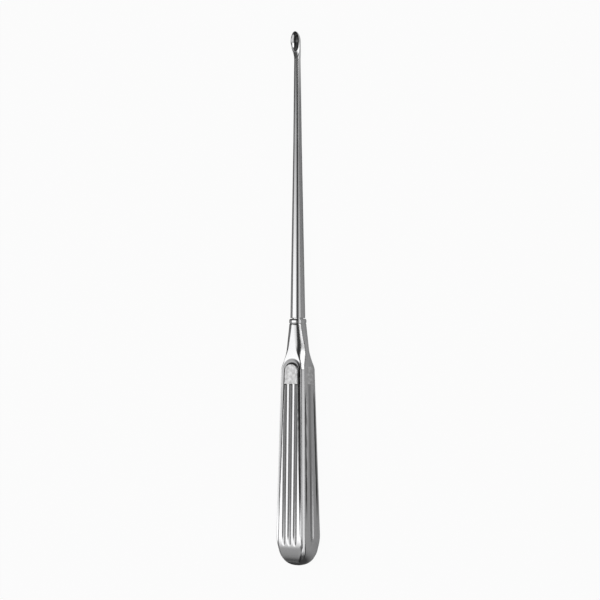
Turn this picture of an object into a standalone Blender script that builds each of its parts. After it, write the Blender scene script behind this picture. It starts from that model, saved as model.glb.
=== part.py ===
# Bone curette: an oval cup and tapered shaft forged in one piece, and a fluted grip handle.
# Metres, +Z up, +X towards the cup. It lies on the flat of its rear grip panel.

import math

import bmesh
import bpy
from mathutils import Matrix, Vector

MM = 0.001

# Handle. Stations are measured along the instrument from the butt.
HANDLE_LENGTH = 106.0 * MM
BUTT_LENGTH = 13.5 * MM  # rounded end of the grip
BUTT_FULLNESS = 2.35  # exponent of the end's outline, 2 being a plain ellipse
SHOULDER_STATION = 84.0 * MM  # where the grip's straight taper ends
BUTT_WIDTH = 16.1 * MM
SHOULDER_WIDTH = 13.5 * MM
BUTT_THICKNESS = 12.2 * MM
SHOULDER_THICKNESS = 9.5 * MM
GRIP_CORNER_RADIUS = 2.4 * MM

# Raised grip panels: an arched smooth pad, then flutes down to the butt
FRONT_PANEL_HALF_WIDTH = (6.2 * MM, 4.2 * MM)  # of the flat, at the butt and at the shoulder
SIDE_PANEL_HALF_WIDTH = (4.45 * MM, 3.1 * MM)
FRONT_PANEL_HEIGHT = 0.9 * MM  # above the core, at the shoulder
SIDE_PANEL_HEIGHT = 0.65 * MM
PANEL_DRAFT = 0.72  # outward lean of the panel's wall for each unit of height
ARCH_DRAFT = 1.7  # the same at the top of the arch
CORE_SWELL = 0.12 * MM  # how far the core would pass the panels at the butt, where they merge
CORE_CORNER_RADIUS = (2.3 * MM, 1.3 * MM)

# Flutes
PAD_LENGTH = 6.0 * MM  # plain stretch between the shoulder station and the flutes
FLUTE_PITCH = 3.1 * MM
FLUTE_WIDTH = 1.7 * MM
FLUTE_DEPTH = 0.55 * MM
FRONT_FLUTES = 3
SIDE_FLUTES = 3

# Neck of the handle and the bead round its mouth
NECK_RADIUS = 3.55 * MM
NECK_ROUNDNESS = 0.98  # corner radius at the mouth, for each unit of the neck's radius
NECK_STRAIGHTNESS = 0.4  # 0 eases the neck in and out, 1 narrows it evenly
BEAD_LENGTH = 1.9 * MM
BEAD_RADIUS = 3.7 * MM
BEAD_ROUNDING = 0.4 * MM  # how far the bead falls away at its ends

# Joint between handle and shaft
SOCKET_DEPTH = 22.0 * MM
TANG_RADIUS = 2.4 * MM
TANG_END_CHAMFER = 0.6 * MM
JOINT_GAP = 0.3 * MM

# Shaft
SHAFT_LENGTH = 111.6 * MM
SHAFT_ROOT_RADIUS = 3.2 * MM
SHAFT_ROOT_EDGE = 0.15 * MM
SHAFT_WAIST_LENGTH = 76.0 * MM  # from the shoulder to where the taper grows gentler
SHAFT_WAIST_RADIUS = 1.83 * MM
SHAFT_TIP_RADIUS = 1.4 * MM

# Cup
CUP_ROOT_LENGTH = 2.9 * MM  # from the shaft's end to the back of the oval
CUP_LENGTH = 9.2 * MM
CUP_WIDTH = 4.9 * MM
CUP_DEPTH = 2.65 * MM
RIM_HEIGHT = 1.65 * MM  # rim's plane above the shaft's axis
RIM_LAND = 0.2 * MM  # width of the cutting edge, seen from above
CUP_WALL = 0.5 * MM  # at the bottom of the bowl

# Facets
ARC_STEPS = 7
ARCH_STEPS = 20
BUTT_STEPS = 16
NECK_STEPS = 12
BEAD_STEPS = 8
FLUTE_SIDES = 24
SHAFT_SIDES = 40
CUP_STEPS = 16
OVERSHOOT = 3.0 * MM  # how far cutters and trimmed stock run past the surface

MOUTH_STATION = HANDLE_LENGTH
BEAD_STATION = HANDLE_LENGTH - BEAD_LENGTH
FLUTE_STATION = SHOULDER_STATION - PAD_LENGTH
SHAFT_STATION = MOUTH_STATION + JOINT_GAP
CUP_ROOT_STATION = SHAFT_STATION + SHAFT_LENGTH
CUP_MIDDLE_STATION = CUP_ROOT_STATION + CUP_ROOT_LENGTH + CUP_LENGTH / 2
TIP_STATION = CUP_MIDDLE_STATION + CUP_LENGTH / 2
SOCKET_RADIUS = TANG_RADIUS + JOINT_GAP


def smooth_step(share):
    share = min(1.0, max(0.0, share))
    return share * share * (3 - 2 * share)


def mix(low, high, share):
    return low + (high - low) * share


def along_grip(ends, station):
    """A size that runs straight from its value at the butt to its value at the shoulder."""
    share = (station - BUTT_LENGTH) / (SHOULDER_STATION - BUTT_LENGTH)
    return mix(ends[0], ends[1], share)


def grip_half_width(station):
    return along_grip((BUTT_WIDTH / 2, SHOULDER_WIDTH / 2), station)


def grip_half_thickness(station):
    return along_grip((BUTT_THICKNESS / 2, SHOULDER_THICKNESS / 2), station)


# Mesh helpers


def new_mesh_object(name, mesh_edit):
    mesh = bpy.data.meshes.new(name)
    bmesh.ops.recalc_face_normals(mesh_edit, faces=mesh_edit.faces)
    if mesh_edit.calc_volume(signed=True) < 0:
        bmesh.ops.reverse_faces(mesh_edit, faces=mesh_edit.faces)
    mesh_edit.to_mesh(mesh)
    mesh_edit.free()
    made = bpy.data.objects.new(name, mesh)
    bpy.context.scene.collection.objects.link(made)
    return made


def loft(name, rings, end_points=(None, None)):
    """A closed solid through rings of points. An end is flat, or runs to a point."""
    mesh_edit = bmesh.new()
    loops = []
    for points in rings:
        circle = bmesh.ops.create_circle(mesh_edit, segments=len(points), radius=1.0)
        for vert, point in zip(circle["verts"], points):
            vert.co = point
        loops.append(circle["verts"])
    for first, second in zip(loops, loops[1:]):
        edges = [edge for edge in mesh_edit.edges if _within(edge, first) or _within(edge, second)]
        bmesh.ops.bridge_loops(mesh_edit, edges=edges)
    for loop, point in ((loops[0], end_points[0]), (loops[-1], end_points[1])):
        cap = mesh_edit.faces.new(loop)
        if point is not None:
            centre = bmesh.ops.poke(mesh_edit, faces=[cap])["verts"][0]
            centre.co = point
    return new_mesh_object(name, mesh_edit)


def _within(edge, loop):
    return edge.verts[0] in loop and edge.verts[1] in loop


def helper(made):
    made.hide_render = True
    made.display_type = "WIRE"
    return made


def combine(target, operation, others):
    """Joins, cuts or trims target by each of the others in turn."""
    for other in others:
        modifier = target.modifiers.new(f"{operation.lower()}_{other.name}", "BOOLEAN")
        modifier.operation = operation
        modifier.solver = "EXACT"
        modifier.object = helper(other)


# Sections of the handle, as points in the plane across the instrument


def rounded_rectangle(station, half_width, half_thickness, radius):
    """A section with rounded corners, as a ring of points across the instrument."""
    ring = []
    for quarter in range(4):
        across = 1 if quarter in (0, 3) else -1
        up = 1 if quarter in (0, 1) else -1
        for step in range(ARC_STEPS + 1):
            turn = (quarter + step / ARC_STEPS) * math.pi / 2
            y = across * (half_width - radius) + radius * math.cos(turn)
            z = up * (half_thickness - radius) + radius * math.sin(turn)
            ring.append(Vector((station, y, z)))
    return ring


def core_section(station):
    """The core under the panels: it passes them at the butt and narrows up the neck."""
    grip_station = min(station, SHOULDER_STATION)
    way = max(0.0, (station - SHOULDER_STATION) / (BEAD_STATION - SHOULDER_STATION))
    share = mix(smooth_step(way), way, NECK_STRAIGHTNESS)
    half_width = grip_half_width(grip_station) + along_grip((CORE_SWELL, -SIDE_PANEL_HEIGHT), grip_station)
    half_thickness = grip_half_thickness(grip_station)
    half_thickness += along_grip((CORE_SWELL, -FRONT_PANEL_HEIGHT), grip_station)
    radius = along_grip(CORE_CORNER_RADIUS, grip_station)
    return rounded_rectangle(
        station,
        mix(half_width, NECK_RADIUS, share),
        mix(half_thickness, NECK_RADIUS, share),
        mix(radius, NECK_RADIUS * NECK_ROUNDNESS, share),
    )


def make_core():
    """Neck and corner ribs in one loft, which runs on past the butt and is trimmed there."""
    neck = [mix(SHOULDER_STATION, BEAD_STATION, step / NECK_STEPS) for step in range(NECK_STEPS + 1)]
    return loft("core", [core_section(station) for station in [-OVERSHOOT] + neck])


def make_bead():
    """The rounded lip of the handle's mouth."""
    rings = []
    for step in range(BEAD_STEPS + 1):
        share = step / BEAD_STEPS
        radius = BEAD_RADIUS - BEAD_ROUNDING * (2 * share - 1) ** 4
        station = mix(BEAD_STATION - BEAD_LENGTH / 4, MOUTH_STATION, share)
        rings.append(circle(station, radius, SHAFT_SIDES))
    return loft("bead", rings)


def circle(station, radius, sides):
    ring = []
    for side in range(sides):
        turn = 2 * math.pi * side / sides
        ring.append(Vector((station, radius * math.cos(turn), radius * math.sin(turn))))
    return ring


def grip_section(station, scale):
    """The grip's outer form, to the faces of its panels."""
    half_width = grip_half_width(station) * scale
    half_thickness = grip_half_thickness(station) * scale
    return rounded_rectangle(station, half_width, half_thickness, GRIP_CORNER_RADIUS * scale)


def make_grip_form():
    """The grip's outer form with its rounded butt, a little longer than the handle."""
    rings = []
    for step in range(1, BUTT_STEPS + 1):
        turn = step / BUTT_STEPS * math.pi / 2
        station = BUTT_LENGTH * (1 - math.cos(turn))
        scale = (1 - math.cos(turn) ** BUTT_FULLNESS) ** (1 / BUTT_FULLNESS)
        rings.append(grip_section(station, scale))
    rings.append(grip_section(HANDLE_LENGTH + OVERSHOOT, 1.0))
    return loft("grip_form", rings, end_points=(Vector((0.0, 0.0, 0.0)), None))


# Grip panels and flutes. Each is made on the front face and turned to its own.


def panel_ring(half_widths, face, level):
    """The arched outline of a panel at a level above or below its face."""
    ends = [width - PANEL_DRAFT * level for width in half_widths]
    rise = half_widths[1] - ARCH_DRAFT * level
    ring = []
    butt = -OVERSHOOT
    ring.append(Vector((butt, -along_grip(ends, butt), face(butt) + level)))
    for step in range(ARCH_STEPS + 1):
        turn = mix(-math.pi / 2, math.pi / 2, step / ARCH_STEPS)
        station = SHOULDER_STATION + rise * math.cos(turn)
        ring.append(Vector((station, ends[1] * math.sin(turn), face(station) + level)))
    ring.append(Vector((butt, along_grip(ends, butt), face(butt) + level)))
    return ring


def make_panel(name, half_widths, face, height, quarter):
    root = height * 1.25
    rings = [panel_ring(half_widths, face, level) for level in (-root, OVERSHOOT)]
    panel = loft(name, rings)
    panel.data.transform(Matrix.Rotation(quarter * math.pi / 2, 4, "X"))
    return panel


def make_flute(name, offset, face, quarter):
    """A round-nosed cutter that starts at the pad and leaves through the butt."""
    radius = (FLUTE_WIDTH**2 / 4 + FLUTE_DEPTH**2) / (2 * FLUTE_DEPTH)
    lift = radius - FLUTE_DEPTH
    nose = FLUTE_STATION - math.sqrt(radius**2 - lift**2)
    rings = [flute_ring(-OVERSHOOT, radius, offset, face, lift)]
    for step in range(5):
        turn = step / 5 * math.pi / 2
        rings.append(flute_ring(nose + radius * math.sin(turn), radius * math.cos(turn), offset, face, lift))
    tip = Vector((nose + radius, offset, face(nose) + lift))
    flute = loft(name, rings, end_points=(None, tip))
    flute.data.transform(Matrix.Rotation(quarter * math.pi / 2, 4, "X"))
    return flute


def flute_ring(station, radius, offset, face, lift):
    ring = circle(station, radius, FLUTE_SIDES)
    shift = Vector((0.0, offset, face(station) + lift))
    return [point + shift for point in ring]


def flute_offsets(count):
    return [(index - (count - 1) / 2) * FLUTE_PITCH for index in range(count)]


def make_handle(material):
    core = make_core()
    panels = []
    flutes = []
    for quarter, side in enumerate(("front", "left", "rear", "right")):
        broad = quarter % 2 == 0
        half_widths = FRONT_PANEL_HALF_WIDTH if broad else SIDE_PANEL_HALF_WIDTH
        height = FRONT_PANEL_HEIGHT if broad else SIDE_PANEL_HEIGHT
        face = grip_half_thickness if broad else grip_half_width
        panels.append(make_panel(f"{side}_panel", half_widths, face, height, quarter))
        for index, offset in enumerate(flute_offsets(FRONT_FLUTES if broad else SIDE_FLUTES)):
            flutes.append(make_flute(f"{side}_flute_{index + 1}", offset, face, quarter))
    handle = core
    handle.name = "handle"
    combine(handle, "UNION", panels)
    combine(handle, "INTERSECT", [make_grip_form()])
    combine(handle, "UNION", [make_bead()])
    combine(handle, "DIFFERENCE", flutes)
    combine(handle, "DIFFERENCE", [make_socket()])
    return finish(handle, material)


def make_socket():
    """The bore that takes the shaft's tang."""
    rings = [
        circle(MOUTH_STATION - SOCKET_DEPTH, SOCKET_RADIUS, SHAFT_SIDES),
        circle(MOUTH_STATION + OVERSHOOT, SOCKET_RADIUS, SHAFT_SIDES),
    ]
    return loft("socket", rings)


# Shaft and cup


def blade_section(station):
    """Half-width, height of the widest points, and the reach below and above them."""
    if station <= CUP_MIDDLE_STATION:
        span = CUP_MIDDLE_STATION - CUP_ROOT_STATION
        share = (station - CUP_ROOT_STATION) / span
        spread = smooth_step(share**0.6)
        settle = smooth_step(share)
        half_width = mix(SHAFT_TIP_RADIUS, CUP_WIDTH / 2, spread)
        below = mix(SHAFT_TIP_RADIUS, CUP_DEPTH, settle)
        return half_width, RIM_HEIGHT * settle, below, SHAFT_TIP_RADIUS * (1 - settle)
    share = (station - CUP_MIDDLE_STATION) / (TIP_STATION - CUP_MIDDLE_STATION)
    taper = math.sqrt(1 - share**2)
    return CUP_WIDTH / 2 * taper, RIM_HEIGHT, CUP_DEPTH * taper, 0.0


def blade_ring(station):
    half_width, middle, below, above = blade_section(station)
    ring = []
    for side in range(SHAFT_SIDES):
        turn = 2 * math.pi * side / SHAFT_SIDES
        reach = above if math.sin(turn) > 0 else below
        ring.append(Vector((station, half_width * math.cos(turn), middle + reach * math.sin(turn))))
    return ring


def make_shaft_and_cup(material):
    tang_end = MOUTH_STATION - SOCKET_DEPTH + JOINT_GAP
    turned = (
        (tang_end, TANG_RADIUS - TANG_END_CHAMFER),
        (tang_end + TANG_END_CHAMFER, TANG_RADIUS),
        (SHAFT_STATION, TANG_RADIUS),
        (SHAFT_STATION, SHAFT_ROOT_RADIUS - SHAFT_ROOT_EDGE),
        (SHAFT_STATION + SHAFT_ROOT_EDGE, SHAFT_ROOT_RADIUS),
        (SHAFT_STATION + SHAFT_WAIST_LENGTH, SHAFT_WAIST_RADIUS),
    )
    rings = [circle(station, radius, SHAFT_SIDES) for station, radius in turned]
    half_cup = TIP_STATION - CUP_MIDDLE_STATION
    for step in range(CUP_STEPS):
        rings.append(blade_ring(mix(CUP_ROOT_STATION, CUP_MIDDLE_STATION, step / CUP_STEPS)))
    for step in range(CUP_STEPS):
        turn = step / CUP_STEPS * math.pi / 2
        rings.append(blade_ring(CUP_MIDDLE_STATION + half_cup * math.sin(turn)))
    tip = Vector((TIP_STATION, 0.0, RIM_HEIGHT))
    blade = loft("shaft_and_cup", rings, end_points=(None, tip))
    combine(blade, "DIFFERENCE", [make_bowl()])
    return finish(blade, material)


def make_bowl():
    """The ellipsoid that hollows the cup."""
    mesh_edit = bmesh.new()
    bmesh.ops.create_uvsphere(mesh_edit, u_segments=SHAFT_SIDES, v_segments=SHAFT_SIDES // 2, radius=1.0)
    reach = Vector((CUP_LENGTH / 2 - RIM_LAND, CUP_WIDTH / 2 - RIM_LAND, CUP_DEPTH - CUP_WALL))
    bmesh.ops.scale(mesh_edit, vec=reach, verts=mesh_edit.verts)
    bmesh.ops.translate(mesh_edit, vec=(CUP_MIDDLE_STATION, 0.0, RIM_HEIGHT), verts=mesh_edit.verts)
    return new_mesh_object("bowl", mesh_edit)


# Finish and placing


def steel(name, colour, roughness):
    material = bpy.data.materials.new(name)
    material.use_nodes = True
    shader = material.node_tree.nodes["Principled BSDF"]
    shader.inputs["Base Color"].default_value = (*colour, 1.0)
    shader.inputs["Metallic"].default_value = 1.0
    shader.inputs["Roughness"].default_value = roughness
    return material


def finish(made, material):
    made.data.materials.append(material)
    made.data.shade_smooth()
    made.data.set_sharp_from_angle(angle=math.radians(30))
    return made


def lay_down(pieces):
    """Lays the instrument on its rear panel, with the middle of its length at the origin."""
    lean = math.atan((grip_half_thickness(0.0) - grip_half_thickness(SHOULDER_STATION)) / SHOULDER_STATION)
    seat = bpy.data.objects.new("resting_pose", None)
    bpy.context.scene.collection.objects.link(seat)
    length = TIP_STATION * math.cos(lean) + RIM_HEIGHT * math.sin(lean)
    seat.rotation_euler = (0.0, lean, 0.0)
    seat.location = (-length / 2, 0.0, grip_half_thickness(0.0) * math.cos(lean))
    for piece in pieces:
        piece.parent = seat


def main():
    for old in list(bpy.data.objects):
        bpy.data.objects.remove(old)
    handle = make_handle(steel("grip_steel", (0.62, 0.62, 0.62), 0.22))
    blade = make_shaft_and_cup(steel("forged_steel", (0.66, 0.66, 0.66), 0.16))
    helpers = [made for made in bpy.data.objects if made.hide_render]
    lay_down([handle, blade] + helpers)


main()
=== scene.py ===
# Bone curette: polished cup and shaft, fluted steel handle, lying on a white table
import math

import bmesh
import bpy
import numpy as np
from mathutils import Matrix, Vector


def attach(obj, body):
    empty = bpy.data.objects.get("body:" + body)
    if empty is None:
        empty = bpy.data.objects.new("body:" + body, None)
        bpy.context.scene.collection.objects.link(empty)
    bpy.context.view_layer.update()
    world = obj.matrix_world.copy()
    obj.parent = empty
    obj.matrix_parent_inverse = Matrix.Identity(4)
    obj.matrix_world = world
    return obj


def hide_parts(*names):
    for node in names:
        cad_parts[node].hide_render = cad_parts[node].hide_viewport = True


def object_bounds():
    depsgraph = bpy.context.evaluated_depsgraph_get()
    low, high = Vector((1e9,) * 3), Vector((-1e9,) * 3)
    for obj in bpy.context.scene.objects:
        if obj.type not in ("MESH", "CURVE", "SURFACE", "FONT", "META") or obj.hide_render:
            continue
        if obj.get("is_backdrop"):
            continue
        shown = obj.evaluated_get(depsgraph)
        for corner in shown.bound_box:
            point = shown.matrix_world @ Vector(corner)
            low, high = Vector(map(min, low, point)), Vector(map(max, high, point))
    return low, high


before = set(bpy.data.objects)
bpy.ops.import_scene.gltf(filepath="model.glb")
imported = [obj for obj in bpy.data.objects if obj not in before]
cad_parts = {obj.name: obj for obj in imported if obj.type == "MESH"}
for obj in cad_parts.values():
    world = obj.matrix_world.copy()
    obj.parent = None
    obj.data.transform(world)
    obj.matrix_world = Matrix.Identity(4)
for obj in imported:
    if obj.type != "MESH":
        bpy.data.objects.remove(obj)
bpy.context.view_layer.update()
print("frame loaded, with", len(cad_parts), "nodes")

mm = 0.001
mergeDistance = 0.0002  # in millimetres, closes the seam and the ends of a tube

# Handle, with its grip, panels, flutes, neck and mouth

# Sizes are in millimetres and stations are counted along the instrument from the butt.
# A pair holds the values where the rounded butt begins and at the shoulder, unless a note differs.
grip = {
    "length": 106.0,
    "buttLength": 13.5,
    "buttFullness": 2.35,  # 2 is a plain ellipse
    "shoulder": 84.0,
    "halfWidth": (8.047, 6.75),
    "halfThickness": (6.098, 4.75),
    "formRadius": 2.4,  # corner of the outer form that the panels reach up to
    "cornerAcross": (0.95, 1.05),  # the core's corner, across the front face and down the side
    "cornerDown": (1.3, 1.4),
    "cornerFlatness": 1.2,  # 2 is a round corner, 1 a flat one
    "buttCorner": (3.4, 3.4, 1.9),  # across, down and flatness at the very end of the butt
    "restLift": 0.0005,  # keeps rounding from sinking a point into the table
}
panels = {
    "frontHalf": (6.1, 3.45),  # half-widths of the flats
    "sideHalf": (3.2, 1.95),
    "frontStep": (0.1, 0.25),  # how far the core lies below the outer form
    "sideStep": (0.0, 0.15),
    "frontGroove": (0.8, 1.9),  # widths from a flat's edge to the foot of its wall
    "sideGroove": (1.1, 1.0),
    "grooveDepth": (0.2, 0.75),
    "grooveSkew": 0.65,  # at 1 a groove is deepest midway, below it nearer to the flat
    "frontEase": 1.0,  # shares of that depth in the front and the side panels' grooves
    "sideEase": 0.6,
    "sideEnd": 76.0,  # where the side grooves have run out
    "sideEndRun": 6.0,
    "archFlat": 0.75,  # where the arched end starts to fall and where it ends, in half-widths
    "archFoot": 1.5,
    "wallCurve": 1.7,  # how round the top of the wall is
    "padEdge": 78.0,
    "padBlend": (0.2, 0.3),  # the matt pad starts this far before its edge and grows over this run
    "padWindow": (0.75, 0.2),  # the same over the wall, 1 being the flat
}
flutes = {
    "pitch": 3.1,
    "width": 1.95,
    "depth": 0.58,
    "frontCount": 1,  # flutes on each side of the middle one
    "sideCount": 0,
    "endRun": 0.8,
    "endCurve": 1.2,  # how steeply they end by the pad
    "endSoftness": 0.25,
    "softness": 0.4,  # rounding of their edges
    "leastSoftness": 0.01,
    "frontFade": (1.0, 1.0),
    "sideFade": (1.0, 0.4),  # the side flutes grow shallow towards the shoulder
    "buttStart": 3.5,  # the flutes begin here and are full depth a run further on
    "buttRun": 11.0,
    "shade": (0.55, 1.0),  # how much painted shade darkens them near the butt and further on
    "shadeStart": 10.0,
    "shadeRun": 25.0,
}
# how much painted shade a groove gets, standing in for the shade at the panel's wall, from the flat's
# edge to the foot of the wall
grooveShade = {
    "byFlat": (1.0, 0.62),  # along the grip and round the arched end
    "byFrontFoot": (0.4, 0.66),
    "bySideFoot": (0.9, 0.66),
    "archRun": 1.5,
    "footStart": 0.58,  # share of the way at which the foot's value begins to hold
    "footRun": 0.15,
    "flatEdge": 0.08,  # shares of the way over which the painted shade fades in and out
    "footEdge": 0.1,
    "buttStart": 16.0,
    "buttRun": 16.0,
    "easeGain": 1.6,  # a shallow groove gets less painted shade
}
neck = {
    "radius": 3.55,
    "roundness": 0.96,
    "straightness": 0.75,  # 0 eases the neck in and out, 1 narrows it evenly
    "squareness": 1.15,  # 2 is a round section, below it the corners flatten
    "acrossRun": 10.5,  # lengths over which the corners grow
    "downRun": 8.0,
    "fullness": 1.25,  # above 1 the neck stays wide for longer
    "frontDrop": 0.45,  # how far the core falls away past the shoulder
    "sideDrop": 0.1,
    "dropRun": 4.0,
    "beadLength": 1.9,
    "beadRadius": 3.7,
    "beadRounding": 0.4,
    "beadFullness": 4,  # 2 is an arc, above it the bead is flatter on top
    "beadStart": 0.1,  # share of the way from the line's start to the mouth
    "beadRings": 17,
    "grooveStart": 0.25,  # the line between neck and bead starts this far before the bead
    "grooveMiddle": 0.1,
    "grooveLip": 0.03,
    "grooveDepth": 0.1,
    "socketRadius": 2.7,
    "socketChamfer": 0.05,
    "socketDepth": 22.0,
}
handleGrid = {
    "columns": 86,  # in a quarter ring
    # shares of the columns up to the edges of the front's flutes, then of the side's
    "shares": [0.0, 0.09, 0.22, 0.37, 0.69, 0.82, 0.94, 1.0],
    "evenRun": 16.0,  # past the shoulder the columns even out over this run
    "buttRows": 66,
    # how many rings lead up to each of these stations
    "rows": [(76.4, 34), (78.6, 26), (82.5, 10), (90.3, 62), (103.7, 26)],
}


def smooth(share):
    share = np.clip(share, 0.0, 1.0)
    return share * share * (3 - 2 * share)


def mix(low, high, share):
    return low + (high - low) * share


def alongGrip(ends, station):
    share = (station - grip["buttLength"]) / (grip["shoulder"] - grip["buttLength"])
    return mix(ends[0], ends[1], share)


def softLower(first, second, softness):
    # the lower of two heights, with a rounded edge where they cross
    blend = np.clip(0.5 + 0.5 * (second - first) / softness, 0.0, 1.0)
    return mix(second, first, blend) - softness * blend * (1 - blend)


def domeScale(station):
    along = np.clip(1 - station / grip["buttLength"], 0.0, 1.0)
    power = grip["buttFullness"]
    return np.maximum(1 - along**power, 0.0) ** (1 / power)


def coreSize(station):
    # half-width and half-thickness under the panels, then the corner
    held = np.minimum(station, grip["shoulder"])
    sideDrop = max(alongGrip(panels["sideStep"], held), 0.0)
    frontDrop = max(alongGrip(panels["frontStep"], held), 0.0)
    beadStation = grip["length"] - neck["beadLength"]
    way = np.clip((station - grip["shoulder"]) / (beadStation - grip["shoulder"]), 0.0, 1.0)
    share = mix(smooth(way), way, neck["straightness"]) ** neck["fullness"]
    drop = float(smooth((station - grip["shoulder"]) / neck["dropRun"]))
    frontDrop += neck["frontDrop"] * drop
    sideDrop += neck["sideDrop"] * drop
    turned = float(smooth((station - grip["shoulder"]) / neck["acrossRun"]))
    turnedDown = float(smooth((station - grip["shoulder"]) / neck["downRun"]))
    halfWidth = mix(alongGrip(grip["halfWidth"], held) - sideDrop, neck["radius"], share)
    halfThickness = mix(alongGrip(grip["halfThickness"], held) - frontDrop, neck["radius"], share)
    across = mix(alongGrip(grip["cornerAcross"], held), neck["radius"] * neck["roundness"], turned)
    down = mix(alongGrip(grip["cornerDown"], held), halfThickness * neck["roundness"], turnedDown)
    power = mix(grip["cornerFlatness"], mix(neck["squareness"], 2.0, share), turned)
    # the corners round off over the butt
    butt = float(smooth(1 - station / grip["buttLength"]))
    corner = [mix(value, end, butt) for value, end in zip((across, down, power), grip["buttCorner"])]
    return halfWidth, halfThickness, *corner


def formTop(offset, halfWide, halfTall, radius):
    # height of the rounded outer form at an offset from its middle
    over = np.clip(np.abs(offset) - (halfWide - radius), 0.0, radius)
    return halfTall - radius + np.sqrt(np.maximum(radius**2 - over**2, 0.0))


def panelWall(station, offset, half, width):
    # 0 on a panel's flat, rising to 1 at the foot of its wall
    held = np.minimum(station, grip["shoulder"])
    flatHalf = alongGrip(half, held)
    footHalf = flatHalf + alongGrip(width, held)
    past = np.maximum(station - grip["shoulder"], 0.0)
    inner = np.sqrt((offset / flatHalf) ** 2 + (past / (half[1] * panels["archFlat"])) ** 2) - 1
    outer = 1 - np.sqrt((offset / footHalf) ** 2 + (past / (half[1] * panels["archFoot"])) ** 2)
    part = inner / np.maximum(inner + outer, 1e-6)
    return np.where(inner <= 0, 0.0, np.where(outer <= 0, 1.0, part))


def fluteCut(station, offset, count):
    # share of the full depth that the nearest flute takes out, negative between flutes
    nearest = np.clip(np.round(offset / flutes["pitch"]), -count, count) * flutes["pitch"]
    across = 1 - ((offset - nearest) / (flutes["width"] / 2)) ** 2
    end = (station - (panels["padEdge"] - flutes["endRun"])) / flutes["endRun"]
    along = 1 - flutes["endCurve"] * end**2 if end > 0 else 1.0
    return softLower(across, along, flutes["endSoftness"])


def faceHeight(station, scale, offset, core, face, across, style):
    # height of a face with its panel and flutes, then how far it is flat, how far it is sunk, and its
    # painted shade along the groove
    half, width, ease, count, fade, footShade = style
    held = np.minimum(station, grip["shoulder"])
    top = formTop(offset, across * scale, face * scale, grip["formRadius"] * scale)
    rise = np.maximum(top - core, 0.0)
    wall = panelWall(station, offset, half, width)
    start = smooth((station - flutes["buttStart"]) / flutes["buttRun"])
    # the groove follows the panel's sides and its arched end
    skewed = wall ** panels["grooveSkew"]
    beside = 4 * skewed * (1 - skewed) * start
    # painted shade along the groove, darkest near the foot of the panel's wall
    arched = smooth((station - grip["shoulder"]) / grooveShade["archRun"])
    byFoot = smooth((wall - grooveShade["footStart"]) / grooveShade["footRun"])
    paintedShade = mix(mix(*grooveShade["byFlat"], arched), mix(*footShade, arched), byFoot)
    paintedShade = paintedShade * np.clip(wall / grooveShade["flatEdge"], 0.0, 1.0)
    paintedShade = paintedShade * np.clip((1 - wall) / grooveShade["footEdge"], 0.0, 1.0)
    paintedShade = paintedShade * smooth((station - grooveShade["buttStart"]) / grooveShade["buttRun"])
    paintedShade = paintedShade * min(grooveShade["easeGain"] * ease, 1.0)
    height = core + rise * (1 - wall ** panels["wallCurve"])
    height = height - alongGrip(panels["grooveDepth"], held) * ease * beside
    depth = flutes["depth"] * start * alongGrip(fade, held)
    floor = face - depth * fluteCut(station, offset, count) + face * (1 - scale) * (1 - start)
    cut = softLower(height, floor, flutes["softness"] * start + flutes["leastSoftness"])
    # how far the surface sinks into a flute, weighted by the painted shade the flutes get
    sunk = np.clip((height - cut) / flutes["depth"], 0.0, 1.0)
    shade = mix(*flutes["shade"], smooth((station - flutes["shadeStart"]) / flutes["shadeRun"]))
    return cut, 1 - wall, sunk * shade, paintedShade


def faceStyles(station):
    # panel half-widths, groove widths and depth, flutes and their fading, and the painted shade at the
    # foot
    run = panels["sideEndRun"]
    sideEase = panels["sideEase"] * (1 - smooth((station - panels["sideEnd"] + run) / run))
    front = (panels["frontHalf"], panels["frontGroove"], panels["frontEase"])
    front += (flutes["frontCount"], flutes["frontFade"], grooveShade["byFrontFoot"])
    side = (panels["sideHalf"], panels["sideGroove"], sideEase)
    side += (flutes["sideCount"], flutes["sideFade"], grooveShade["bySideFoot"])
    return front, side


def ringFractions(station, total, columns):
    # where the points of a quarter ring stand along its length, closer together in walls
    pitch = flutes["pitch"]
    half = flutes["width"] / 2
    marks = [0.0, half, pitch - half, pitch + half]
    marks += [total - mark for mark in marks[::-1]]
    spots = np.linspace(0.0, 1.0, columns + 1)
    blend = smooth((station - grip["shoulder"]) / handleGrid["evenRun"])
    return mix(np.interp(spots, handleGrid["shares"], marks), spots * total, blend)


def handleRows():
    turns = np.linspace(0.0, math.pi / 2, handleGrid["buttRows"])
    start = grip["buttLength"]
    stretches = [start * (1 - np.cos(turns))]
    for end, count in handleGrid["rows"]:
        stretches.append(np.linspace(start, end, count))
        start = end
    return np.unique(np.concatenate(stretches).round(5))


def roundedCorner(arc, halfWidth, halfThickness, across, down, flatness):
    # from the middle of the front face round the corner to the middle of the side
    flat = halfWidth - across
    bend = (across + down) * math.pi / 4
    angle = np.clip((arc - flat) / bend, 0.0, 1.0) * math.pi / 2
    y = np.where(arc < flat, arc, flat + across * np.sin(angle) ** (2 / flatness))
    z = halfThickness - down + down * np.abs(np.cos(angle)) ** (2 / flatness)
    z = np.where(arc > flat + bend, halfThickness - down - (arc - flat - bend), z)
    return y, z


def ringSurface(name, rings, marks=None):
    # bends a grid into a tube through rings of points; merging doubles closes its seam and its ends
    rows, columns = rings.shape[:2]
    mesh = bmesh.new()
    bmesh.ops.create_grid(mesh, x_segments=columns, y_segments=rows - 1, size=0.5)
    layers = {mark: mesh.verts.layers.float.new(mark) for mark in (marks or {})}
    for vert in mesh.verts:
        column = round((vert.co.x + 0.5) * columns) % columns
        row = round((vert.co.y + 0.5) * (rows - 1))
        vert.co = rings[row, column]
        for mark, layer in layers.items():
            vert[layer] = marks[mark][row, column]
    bmesh.ops.remove_doubles(mesh, verts=mesh.verts, dist=mergeDistance)
    bmesh.ops.recalc_face_normals(mesh, faces=mesh.faces)
    return meshObject(name, mesh)


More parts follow.
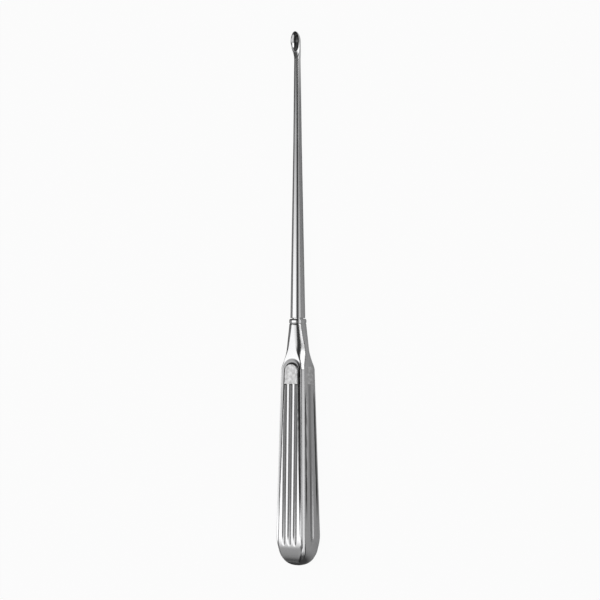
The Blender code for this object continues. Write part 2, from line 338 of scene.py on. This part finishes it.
def meshObject(name, mesh):
    data = bpy.data.meshes.new(name)
    mesh.to_mesh(data)
    mesh.free()
    data.shade_smooth()
    piece = bpy.data.objects.new(name, data)
    bpy.context.scene.collection.objects.link(piece)
    return piece


def restMatrix():
    # the instrument lies on the flat of its rear panel, so its axis dips towards the cup
    butt = alongGrip(grip["halfThickness"], 0.0)
    lean = math.atan((butt - alongGrip(grip["halfThickness"], grip["shoulder"])) / grip["shoulder"])
    length = blade["tip"] * math.cos(lean) + blade["rimHeight"] * math.sin(lean)
    place = Matrix.Translation(Vector((-length / 2, 0.0, butt * math.cos(lean) + grip["restLift"])) * mm)
    return place @ Matrix.Rotation(lean, 4, "Y") @ Matrix.Diagonal((mm, mm, mm, 1.0)), lean


def layDown(piece):
    piece.data.transform(restMatrix()[0])
    return piece


def buildHandle():
    columns = handleGrid["columns"]
    padStart, padRun = panels["padBlend"]
    windowStart, windowRun = panels["padWindow"]
    rings = []
    # wall carries the painted shade along the panels' grooves
    marks = {"matte": [], "recess": [], "wall": []}
    for station in handleRows():
        halfWidth, halfThickness, *corner = coreSize(station)
        bend = (corner[0] + corner[1]) * math.pi / 4
        total = halfWidth - corner[0] + halfThickness - corner[1] + bend
        scale = domeScale(station)
        arc = ringFractions(station, total, columns)
        y, z = roundedCorner(arc, halfWidth, halfThickness, *corner)
        y, z = y * scale, z * scale
        wide = alongGrip(grip["halfWidth"], station)
        thick = alongGrip(grip["halfThickness"], station)
        frontStyle, sideStyle = faceStyles(station)
        front = faceHeight(station, scale, y, z, thick, wide, frontStyle)
        side = faceHeight(station, scale, z, y, wide, thick, sideStyle)
        onFront = z - y > (halfThickness - halfWidth) * scale
        window, sunk, wall = (np.where(onFront, *pair) for pair in zip(front[1:], side[1:]))
        y, z = np.where(onFront, y, side[0]), np.where(onFront, front[0], z)
        pad = smooth((station - panels["padEdge"] + padStart) / padRun)
        matte = pad * smooth((window - windowStart) / windowRun)
        rings.append(wholeRing(station, y, z))
        for rows, values in zip(marks.values(), (matte, sunk, wall)):
            rows.append(wholeRow(values))
    for station, radius in mouthProfile():
        angle = np.linspace(0.0, math.pi / 2, columns + 1)
        rings.append(wholeRing(station, radius * np.sin(angle), radius * np.cos(angle)))
        for rows in marks.values():
            rows.append(wholeRow(np.zeros(columns + 1)))
    marks = {name: np.array(rows) for name, rows in marks.items()}
    return layDown(ringSurface("gripHandle", np.array(rings), marks))


def wholeRing(station, y, z):
    # a quarter ring, from the front to the side, mirrored to the whole
    right = list(zip(y, z))
    lower = [(a, -b) for a, b in right[::-1]][1:]
    half = right + lower
    left = [(-a, b) for a, b in half[::-1]][1:-1]
    return [(station, a, b) for a, b in half + left]


def wholeRow(values):
    right = list(values)
    half = right + right[::-1][1:]
    return half + half[::-1][1:-1]


def mouthProfile():
    # the line before the bead, the bead, the mouth's face and the socket behind it
    length = grip["length"]
    beadStation = length - neck["beadLength"]
    start = beadStation - neck["grooveStart"]
    profile = [
        (start, neck["radius"] - neck["grooveLip"]),
        (beadStation - neck["grooveMiddle"], neck["radius"] - neck["grooveDepth"]),
    ]
    for share in np.linspace(neck["beadStart"], 1.0, neck["beadRings"]):
        drop = neck["beadRounding"] * abs(2 * share - 1) ** neck["beadFullness"]
        profile.append((mix(start, length, share), neck["beadRadius"] - drop))
    profile.append((length, neck["socketRadius"] + neck["socketChamfer"]))
    profile.append((length - neck["socketChamfer"], neck["socketRadius"]))
    profile.append((length - neck["socketDepth"], neck["socketRadius"]))
    profile.append((length - neck["socketDepth"], 0.0))
    return profile


# Cup, neck, tapered shaft and tang in one forging
blade = {
    "tangEnd": 84.3,
    "tangRadius": 2.4,
    "tangChamfer": 0.6,
    "root": 106.3,
    "rootRadius": 3.2,
    "rootEdge": 0.15,
    "waist": 182.3,
    "waistRadius": 1.83,
    "cupRoot": 217.9,
    "tipRadius": 1.4,  # of the shaft, where the cup's root begins
    "cupMiddle": 225.4,
    "tip": 229.996,
    "cupHalfWidth": 2.45,
    "cupDepth": 2.65,
    "rimHeight": 1.65,
    "rimLand": 0.14,
    "cupWall": 0.65,
    "rootSpread": 0.8,  # below 1 the cup's root widens sooner
    "rootFall": 2,  # above 1 the root's top comes down to the rim sooner
    "hollowLift": 0.35,  # height of the hollow's middle over the rim, in its own heights
    "hollowSegments": (128, 64),
    "sides": 128,
    "shaftRings": 60,
    "shaftEnds": (2.0, 0.5),  # bare lengths before the first and after the last of them
    "rootRings": 60,
    "cupRings": 50,
    "crease": 35.0,  # in degrees, edges above it stay sharp
    # painted shade inside the cup's hollow
    "hollowShadeStart": (0.5, 0.3),  # shares of the hollow's depth where the painted shade begins, towards the shaft and towards the tip
    "hollowShadeLevel": (0.5, 1.0),  # the same two sides
    "hollowShadeRun": 0.4,
    "hollowShadeTurn": (1.5, 3.0),  # from shaft side to tip side, starting before the cup's middle
    "hollowTolerance": 0.004,  # how near the ball's surface a point of the hollow lies
}


def bladeSection(station):
    # half-width, height of the widest points, and the reach below and above them
    if station <= blade["cupMiddle"]:
        share = (station - blade["cupRoot"]) / (blade["cupMiddle"] - blade["cupRoot"])
        settle = float(smooth(share))
        spread = float(smooth(max(share, 0.0) ** blade["rootSpread"]))
        halfWidth = mix(blade["tipRadius"], blade["cupHalfWidth"], spread)
        below = mix(blade["tipRadius"], blade["cupDepth"], settle)
        above = blade["tipRadius"] * (1 - settle) ** blade["rootFall"]
        return halfWidth, blade["rimHeight"] * settle, below, above
    share = (station - blade["cupMiddle"]) / (blade["tip"] - blade["cupMiddle"])
    taper = math.sqrt(max(0.0, 1 - share**2))
    return blade["cupHalfWidth"] * taper, blade["rimHeight"], blade["cupDepth"] * taper, 0.0


def bladeRing(station, halfWidth, middle, below, above):
    angle = np.linspace(0.0, 2 * math.pi, blade["sides"], endpoint=False)
    reach = np.where(np.sin(angle) > 0, above, below)
    y = halfWidth * np.cos(angle)
    z = middle + reach * np.sin(angle)
    return np.stack([np.full_like(y, station), y, z], axis=1)


def buildBlade():
    turned = [
        (blade["tangEnd"], 0.0),
        (blade["tangEnd"], blade["tangRadius"] - blade["tangChamfer"]),
        (blade["tangEnd"] + blade["tangChamfer"], blade["tangRadius"]),
        (blade["root"], blade["tangRadius"]),
        (blade["root"], blade["rootRadius"] - blade["rootEdge"]),
        (blade["root"] + blade["rootEdge"], blade["rootRadius"]),
    ]
    knots = (blade["root"], blade["waist"], blade["cupRoot"])
    radii = (blade["rootRadius"], blade["waistRadius"], blade["tipRadius"])
    before, after = blade["shaftEnds"]
    for station in np.linspace(blade["root"] + before, blade["cupRoot"] - after, blade["shaftRings"]):
        turned.append((station, float(np.interp(station, knots, radii))))
    rings = [bladeRing(station, radius, 0.0, radius, radius) for station, radius in turned]
    for station in np.linspace(blade["cupRoot"], blade["cupMiddle"], blade["rootRings"], endpoint=False):
        rings.append(bladeRing(station, *bladeSection(station)))
    for turn in np.linspace(0.0, math.pi / 2, blade["cupRings"]):
        station = mix(blade["cupMiddle"], blade["tip"], math.sin(turn))
        rings.append(bladeRing(station, *bladeSection(station)))
    piece = ringSurface("cupAndShaft", np.array(rings))
    hollow = cupHollow()
    cut = piece.modifiers.new("hollow", "BOOLEAN")
    cut.operation = "DIFFERENCE"
    cut.solver = "EXACT"
    cut.object = hollow
    bakeModifiers(piece)
    bpy.data.objects.remove(hollow)
    piece.data.shade_smooth()
    piece.data.set_sharp_from_angle(angle=math.radians(blade["crease"]))
    paintHollowShade(piece.data)
    return layDown(piece)


def paintHollowShade(data):
    # painted shade in the hollow: marks how deep its points lie, darker deeper down and more so towards
    # the tip
    spots = np.empty(len(data.vertices) * 3)
    data.vertices.foreach_get("co", spots)
    x, y, z = spots.reshape(-1, 3).T
    reach, middle = hollowBall()
    squares = (((spot - centre) / size) ** 2 for spot, centre, size in zip((x, y, z), middle, reach))
    away = np.sqrt(sum(squares))
    depth = (blade["rimHeight"] - z) / (blade["cupDepth"] - blade["cupWall"])
    before, run = blade["hollowShadeTurn"]
    towardsTip = smooth((x - blade["cupMiddle"] + before) / run)
    start = mix(*blade["hollowShadeStart"], towardsTip)
    hollowShade = smooth((depth - start) / blade["hollowShadeRun"]) * mix(*blade["hollowShadeLevel"], towardsTip)
    hollowShade = np.where(np.abs(away - 1) < blade["hollowTolerance"], hollowShade, 0.0)
    data.attributes.new("hollowShade", "FLOAT", "POINT").data.foreach_set("value", hollowShade.astype(np.float32))


def hollowBall():
    # the ball's middle stands above the rim, so that the hollow's wall leans outwards there
    lift = blade["hollowLift"]
    spread = math.sqrt(1 - lift**2)
    height = (blade["cupDepth"] - blade["cupWall"]) / (1 - lift)
    length = (blade["tip"] - blade["cupMiddle"] - blade["rimLand"]) / spread
    width = (blade["cupHalfWidth"] - blade["rimLand"]) / spread
    return (length, width, height), (blade["cupMiddle"], 0.0, blade["rimHeight"] + lift * height)


def cupHollow():
    mesh = bmesh.new()
    around, upwards = blade["hollowSegments"]
    bmesh.ops.create_uvsphere(mesh, u_segments=around, v_segments=upwards, radius=1.0)
    reach, middle = hollowBall()
    bmesh.ops.scale(mesh, vec=reach, verts=mesh.verts)
    bmesh.ops.translate(mesh, vec=middle, verts=mesh.verts)
    return meshObject("cupHollow", mesh)


def bakeModifiers(piece):
    bpy.context.view_layer.update()
    shaped = bpy.data.meshes.new_from_object(piece.evaluated_get(bpy.context.evaluated_depsgraph_get()))
    piece.modifiers.clear()
    piece.data = shaped


# Finishes

# the fine texture of the surfaces, with scales per metre and heights in metres
grain = {
    "lineScale": 900.0,
    "lineStretch": (0.03, 1.0, 1.0),
    "lineDetail": 3.0,
    "cloudScale": 120.0,
    "cloudDetail": 4.0,
    "pitScale": 2200.0,
    "pitDetail": 2.0,
    "toneScale": 700.0,
    "toneDetail": 3.0,
    "bladeFineness": 1.0,
    "handleFineness": 0.8,
    "padFineness": 1.0,
    "bladeRoughness": (0.08, 0.16),
    "handleRoughness": (0.1, 0.2),
    "bladeBump": 0.04,
    "handleBump": 0.35,
    "bumpHeight": 0.0001,
    "lineShare": 0.1,  # height of the handle's polishing lines beside the pad's pits
    "mottleSpan": (0.35, 0.65),
}
steel = {
    "polished": (0.57, 0.57, 0.575, 1.0),
    "padDark": (0.5, 0.5, 0.5, 1.0),
    "padLight": (0.78, 0.78, 0.785, 1.0),
    # the flutes' colour: painted shade, over their duller unpolished finish
    "recess": (0.17, 0.17, 0.17, 1.0),
    # painted shade for the panels' grooves
    "grooveShadeColour": (0.025, 0.025, 0.025, 1.0),
    # painted shade for the hollow's depth
    "hollowShade": (0.025, 0.025, 0.025, 1.0),
    "matteRoughness": 0.42,
    "recessDullness": 0.35,
}


def newGroup(name, inputs, outputs):
    group = bpy.data.node_groups.new(name, "ShaderNodeTree")
    for label, kind, value in inputs:
        socket = group.interface.new_socket(name=label, in_out="INPUT", socket_type=kind)
        socket.default_value = value
    for label, kind in outputs:
        group.interface.new_socket(name=label, in_out="OUTPUT", socket_type=kind)
    return group, group.nodes.new("NodeGroupInput"), group.nodes.new("NodeGroupOutput")


def mathNode(nodes, links, operation, first, second):
    node = nodes.new("ShaderNodeMath")
    node.operation = operation
    for index, value in enumerate((first, second)):
        if isinstance(value, (int, float)):
            node.inputs[index].default_value = value
        else:
            links.new(value, node.inputs[index])
    return node.outputs[0]


def stretchedNoise(nodes, links, coordinates, scale, detail, stretch=(1.0, 1.0, 1.0)):
    mapping = nodes.new("ShaderNodeMapping")
    mapping.inputs["Scale"].default_value = stretch
    noise = nodes.new("ShaderNodeTexNoise")
    noise.inputs["Detail"].default_value = detail
    if isinstance(scale, (int, float)):
        noise.inputs["Scale"].default_value = scale
    else:
        links.new(scale, noise.inputs["Scale"])
    links.new(coordinates, mapping.inputs["Vector"])
    links.new(mapping.outputs["Vector"], noise.inputs["Vector"])
    return noise.outputs["Fac"]


def buildPolishMarks():
    # fine lines that polishing leaves along the instrument
    group, entry, leave = newGroup(
        "polishMarks",
        [("Fineness", "NodeSocketFloat", 1.0)],
        [("Height", "NodeSocketFloat"), ("Cloud", "NodeSocketFloat")],
    )
    nodes, links = group.nodes, group.links
    coordinates = nodes.new("ShaderNodeTexCoord").outputs["Object"]
    fine = mathNode(nodes, links, "MULTIPLY", entry.outputs["Fineness"], grain["lineScale"])
    lines = stretchedNoise(nodes, links, coordinates, fine, grain["lineDetail"], grain["lineStretch"])
    cloud = stretchedNoise(nodes, links, coordinates, grain["cloudScale"], grain["cloudDetail"])
    links.new(lines, leave.inputs["Height"])
    links.new(cloud, leave.inputs["Cloud"])
    return group


def buildBlastedSkin():
    # the tiny pits of a finely matted surface
    group, entry, leave = newGroup(
        "blastedSkin",
        [("Fineness", "NodeSocketFloat", 1.0)],
        [("Height", "NodeSocketFloat"), ("Tone", "NodeSocketFloat")],
    )
    nodes, links = group.nodes, group.links
    coordinates = nodes.new("ShaderNodeTexCoord").outputs["Object"]
    scale = mathNode(nodes, links, "MULTIPLY", entry.outputs["Fineness"], grain["pitScale"])
    pits = stretchedNoise(nodes, links, coordinates, scale, grain["pitDetail"])
    tone = stretchedNoise(nodes, links, coordinates, grain["toneScale"], grain["toneDetail"])
    links.new(pits, leave.inputs["Height"])
    links.new(tone, leave.inputs["Tone"])
    return group


def placeGroup(material, group, **values):
    node = material.node_tree.nodes.new("ShaderNodeGroup")
    node.node_tree = group
    for label, value in values.items():
        node.inputs[label].default_value = value
    return node


def remap(nodes, links, value, low, high, span=(0.0, 1.0)):
    node = nodes.new("ShaderNodeMapRange")
    node.inputs["From Min"].default_value = span[0]
    node.inputs["From Max"].default_value = span[1]
    node.inputs["To Min"].default_value = low
    node.inputs["To Max"].default_value = high
    links.new(value, node.inputs["Value"])
    return node.outputs["Result"]


def blendColour(nodes, links, factor, first, second):
    node = nodes.new("ShaderNodeMix")
    node.data_type = "RGBA"
    ends = [socket for socket in node.inputs if socket.type == "RGBA"]
    for socket, value in zip(ends, (first, second)):
        if isinstance(value, tuple):
            socket.default_value = value
        else:
            links.new(value, socket)
    links.new(factor, node.inputs["Factor"])
    return [socket for socket in node.outputs if socket.type == "RGBA"][0]


def newMaterial(name):
    # a metal, with its nodes and its shader
    material = bpy.data.materials.new(name)
    material.use_nodes = True
    nodes = material.node_tree.nodes
    shader = nodes["Principled BSDF"]
    shader.inputs["Metallic"].default_value = 1.0
    return material, nodes, material.node_tree.links, shader


def pointMark(nodes, name):
    # a value that the mesh carries at its points
    node = nodes.new("ShaderNodeAttribute")
    node.attribute_name = name
    return node.outputs["Fac"]


def addBump(nodes, links, shader, height, strength):
    bump = nodes.new("ShaderNodeBump")
    bump.inputs["Strength"].default_value = strength
    bump.inputs["Distance"].default_value = grain["bumpHeight"]
    links.new(height, bump.inputs["Height"])
    links.new(bump.outputs["Normal"], shader.inputs["Normal"])


def bladeSteel(polishMarks):
    material, nodes, links, shader = newMaterial("polishedSteel")
    marks = placeGroup(material, polishMarks, Fineness=grain["bladeFineness"])
    # painted shade darkens the hollow's depth
    colour = blendColour(nodes, links, pointMark(nodes, "hollowShade"), steel["polished"], steel["hollowShade"])
    links.new(colour, shader.inputs["Base Color"])
    roughness = remap(nodes, links, marks.outputs["Cloud"], *grain["bladeRoughness"])
    links.new(roughness, shader.inputs["Roughness"])
    addBump(nodes, links, shader, marks.outputs["Height"], grain["bladeBump"])
    return material


def handleSteel(polishMarks, blastedSkin):
    material, nodes, links, shader = newMaterial("handleSteel")
    marks = placeGroup(material, polishMarks, Fineness=grain["handleFineness"])
    skin = placeGroup(material, blastedSkin, Fineness=grain["padFineness"])
    matte, recess, wall = (pointMark(nodes, name) for name in ("matte", "recess", "wall"))
    rough = nodes.new("ShaderNodeMix")
    links.new(matte, rough.inputs["Factor"])
    links.new(remap(nodes, links, marks.outputs["Cloud"], *grain["handleRoughness"]), rough.inputs["A"])
    rough.inputs["B"].default_value = steel["matteRoughness"]
    dull = mathNode(nodes, links, "MULTIPLY", recess, steel["recessDullness"])
    dull = mathNode(nodes, links, "ADD", rough.outputs["Result"], dull)
    links.new(dull, shader.inputs["Roughness"])
    mottle = remap(nodes, links, skin.outputs["Tone"], 0.0, 1.0, grain["mottleSpan"])
    padTone = blendColour(nodes, links, mottle, steel["padDark"], steel["padLight"])
    colour = blendColour(nodes, links, matte, steel["polished"], padTone)
    # painted shade in the flutes, where their finish is also duller
    colour = blendColour(nodes, links, recess, colour, steel["recess"])
    # painted shade at the foot of the panels' walls darkens the colour almost to black
    colour = blendColour(nodes, links, wall, colour, steel["grooveShadeColour"])
    links.new(colour, shader.inputs["Base Color"])
    height = nodes.new("ShaderNodeMix")
    links.new(matte, height.inputs["Factor"])
    links.new(remap(nodes, links, marks.outputs["Height"], 0.0, grain["lineShare"]), height.inputs["A"])
    links.new(skin.outputs["Height"], height.inputs["B"])
    addBump(nodes, links, shader, height.outputs["Result"], grain["handleBump"])
    return material


# Table, light and camera

# lengths in metres and angles in degrees
studio = {
    "floorSize": 4.0,
    "floorColour": (0.65, 0.65, 0.65, 1.0),
    "floorGlow": 0.95,  # how white the camera sees it
    # painted light and shade in the table that only the metal's reflections show
    "floorGlowInMetal": (0.18, 0.0),  # beside the handle and beside the shaft
    "shaftReach": (-0.02, 0.03),  # from where to where the first value turns into the second
    "cupGlow": (0.0, 0.5),  # beside the shaft and beside the cup
    "cupReach": (0.085, 0.105),
    "farReach": (0.0, 0.02),  # painted shade: metal shows the table darker on the far side
    "buttReach": (-0.119, -0.105),  # and past the butt
    "dimShare": 0.8,  # how much of the table's brightness is lost there
    # brightness by the angle from straight overhead towards the far side
    "sky": [
        (-90, 0.2),
        (-87, 0.2),
        (-84, 1.3),
        (-58, 1.3),
        (-50, 0.18),
        (-26, 0.18),
        (-8, 0.5),
        (44, 0.5),
        (58, 0.24),
        (70, 0.2),
        (84, 0.8),
        (90, 0.8),
    ],
    # it fades towards both ends, by how far a ray points along the instrument, from -1 to 1
    "endReach": (-0.78, -0.6),
    "endLevel": (0.1, 1.0),
    "tipReach": (0.0, 0.13),
    "tipLevel": (1.0, 0.25),
    # brightness, angle from overhead, shift along the instrument, size, soft edges and distance
    "boxes": {
        "softbox": (1.42, 16.0, -0.06, (0.62, 1.2), (0.3, 0.16), 0.8),
        "sideLamp": (1.9, -68.5, 1.1, (1.4, 1.15), (0.06, 0.15), 2.0),
    },
}


def makeLamp(name, glow, angle, shift, size, edges, distance):
    # an area lamp whose light fades towards its edges
    data = bpy.data.lights.new(name, "AREA")
    data.shape = "RECTANGLE"
    data.size, data.size_y = size
    data.energy = glow * size[0] * size[1] * math.pi
    data.use_nodes = True
    nodes, links = data.node_tree.nodes, data.node_tree.links
    spot = nodes.new("ShaderNodeSeparateXYZ")
    links.new(nodes.new("ShaderNodeNewGeometry").outputs["Parametric"], spot.inputs[0])
    level = None
    for axis, edge in zip(("X", "Y"), edges):
        centred = mathNode(nodes, links, "SUBTRACT", spot.outputs[axis], 0.5)
        centred = mathNode(nodes, links, "ABSOLUTE", centred, 0.0)
        fade = remap(nodes, links, centred, 1.0, 0.0, (0.5 - edge, 0.5))
        level = fade if level is None else mathNode(nodes, links, "MULTIPLY", level, fade)
    links.new(level, nodes["Emission"].inputs["Strength"])
    turn = math.radians(angle)
    away = Vector((0.0, math.sin(turn), math.cos(turn))) * distance
    lamp = bpy.data.objects.new(name, data)
    place = Matrix.Translation(away + Vector((shift, 0.0, 0.0)))
    lamp.matrix_world = place @ Matrix.Rotation(-turn, 4, "X")
    lamp.visible_camera = False
    bpy.context.scene.collection.objects.link(lamp)


def makeFloor():
    # white to the camera, while metal shows it with painted light and shade by place: brighter beside
    # the cup, darker on the far side and past the butt
    mesh = bmesh.new()
    bmesh.ops.create_grid(mesh, x_segments=1, y_segments=1, size=studio["floorSize"] / 2)
    floor = meshObject("floor", mesh)
    material = bpy.data.materials.new("tablePaper")
    material.use_nodes = True
    nodes, links = material.node_tree.nodes, material.node_tree.links
    nodes.clear()
    output = nodes.new("ShaderNodeOutputMaterial")
    diffuse = nodes.new("ShaderNodeBsdfDiffuse")
    diffuse.inputs["Color"].default_value = studio["floorColour"]
    glow = nodes.new("ShaderNodeEmission")
    blend = nodes.new("ShaderNodeMixShader")
    path = nodes.new("ShaderNodeLightPath")
    seen, mirror = path.outputs["Is Camera Ray"], path.outputs["Is Glossy Ray"]
    direct = mathNode(nodes, links, "MAXIMUM", seen, path.outputs["Is Transmission Ray"])
    direct = mathNode(nodes, links, "MULTIPLY", direct, studio["floorGlow"])
    spot = nodes.new("ShaderNodeSeparateXYZ")
    links.new(nodes.new("ShaderNodeTexCoord").outputs["Object"], spot.inputs[0])
    # painted light: how brightly the metal sees the table glow, by place
    shaftPart = remap(nodes, links, spot.outputs["X"], *studio["floorGlowInMetal"], studio["shaftReach"])
    cupPart = remap(nodes, links, spot.outputs["X"], *studio["cupGlow"], studio["cupReach"])
    glowing = mathNode(nodes, links, "ADD", shaftPart, cupPart)
    # painted shade: where the metal sees the table dimmed
    beyond = remap(nodes, links, spot.outputs["Y"], 0.0, 1.0, studio["farReach"])
    past = remap(nodes, links, spot.outputs["X"], 1.0, 0.0, studio["buttReach"])
    dim = mathNode(nodes, links, "MAXIMUM", beyond, past)
    dim = mathNode(nodes, links, "MULTIPLY", dim, mirror)
    links.new(mathNode(nodes, links, "SUBTRACT", 1.0, dim), glow.inputs["Strength"])
    dim = mathNode(nodes, links, "MULTIPLY", dim, studio["dimShare"])
    mirrored = mathNode(nodes, links, "MULTIPLY", mirror, glowing)
    mirrored = mathNode(nodes, links, "MAXIMUM", mirrored, dim)
    share = mathNode(nodes, links, "MAXIMUM", direct, mirrored)
    links.new(share, blend.inputs["Fac"])
    links.new(diffuse.outputs[0], blend.inputs[1])
    links.new(glow.outputs[0], blend.inputs[2])
    links.new(blend.outputs[0], output.inputs["Surface"])
    floor.data.materials.append(material)
    floor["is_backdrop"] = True


def makeSky():
    # bands of light along the instrument, fading towards both its ends
    world = bpy.data.worlds.new("studio")
    world.use_nodes = True
    bpy.context.scene.world = world
    nodes, links = world.node_tree.nodes, world.node_tree.links
    background = nodes["Background"]
    direction = nodes.new("ShaderNodeTexCoord").outputs["Generated"]
    parts = nodes.new("ShaderNodeSeparateXYZ")
    links.new(direction, parts.inputs[0])
    turn = mathNode(nodes, links, "ARCTAN2", parts.outputs["Y"], parts.outputs["Z"])
    share = mathNode(nodes, links, "MULTIPLY_ADD", turn, 1 / math.pi)
    share.node.inputs[2].default_value = 0.5
    ramp = nodes.new("ShaderNodeValToRGB")
    links.new(share, ramp.inputs["Fac"])
    brightest = max(level for angle, level in studio["sky"])
    stops = ramp.color_ramp.elements
    while len(stops) < len(studio["sky"]):
        stops.new(0.5)
    for stop, (angle, level) in zip(stops, studio["sky"]):
        stop.position = (angle + 90) / 180
        tone = level / brightest
        stop.color = (tone, tone, tone, 1.0)
    links.new(ramp.outputs["Color"], background.inputs["Color"])
    near = remap(nodes, links, parts.outputs["X"], *studio["endLevel"], studio["endReach"])
    far = remap(nodes, links, parts.outputs["X"], *studio["tipLevel"], studio["tipReach"])
    level = mathNode(nodes, links, "MULTIPLY", near, far)
    level = mathNode(nodes, links, "MULTIPLY", level, brightest)
    links.new(level, background.inputs["Strength"])


# in degrees and millimetres
view = {
    "elevation": 49.0,
    "lens": 135.0,
    "sensor": 36.0,
    "frameWidth": 258.4,
    "aimHeight": 5.0,
    "aim": (1.5, -0.9),  # right of and above the box's middle
    "roll": -0.1,
}


def makeCamera(lean):
    low, high = (Vector(corner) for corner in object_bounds())
    middle = Vector(((low.x + high.x) / 2, (low.y + high.y) / 2, view["aimHeight"] * mm))
    elevation = math.radians(view["elevation"])
    back = Vector((0.0, -math.cos(elevation), math.sin(elevation)))
    axis = Vector((math.cos(lean), 0.0, -math.sin(lean)))
    up = (axis - back * axis.dot(back)).normalized()
    up = Matrix.Rotation(math.radians(view["roll"]), 3, back) @ up
    right = up.cross(back)
    data = bpy.data.cameras.new("studioCamera")
    data.lens = view["lens"]
    data.sensor_width = view["sensor"]
    distance = view["frameWidth"] * mm * data.lens / data.sensor_width
    camera = bpy.data.objects.new("studioCamera", data)
    aim = middle + right * view["aim"][0] * mm + up * view["aim"][1] * mm
    turned = Matrix((right, up, back)).transposed().to_4x4()
    camera.matrix_world = Matrix.Translation(aim + back * distance) @ turned
    bpy.context.scene.collection.objects.link(camera)
    bpy.context.scene.camera = camera


def main():
    handlePiece = buildHandle()
    print("handle", len(handlePiece.data.polygons))
    bladePiece = buildBlade()
    print("cup and shaft", len(bladePiece.data.polygons))
    polishMarks = buildPolishMarks()
    handlePiece.data.materials.append(handleSteel(polishMarks, buildBlastedSkin()))
    bladePiece.data.materials.append(bladeSteel(polishMarks))
    print("finishes made")
    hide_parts("handle")
    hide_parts("shaft_and_cup")
    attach(handlePiece, "root")
    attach(bladePiece, "root")
    makeFloor()
    for name, setting in studio["boxes"].items():
        makeLamp(name, *setting)
    makeSky()
    makeCamera(restMatrix()[1])
    bpy.context.scene.view_settings.view_transform = "Standard"
    print("studio made")


main()
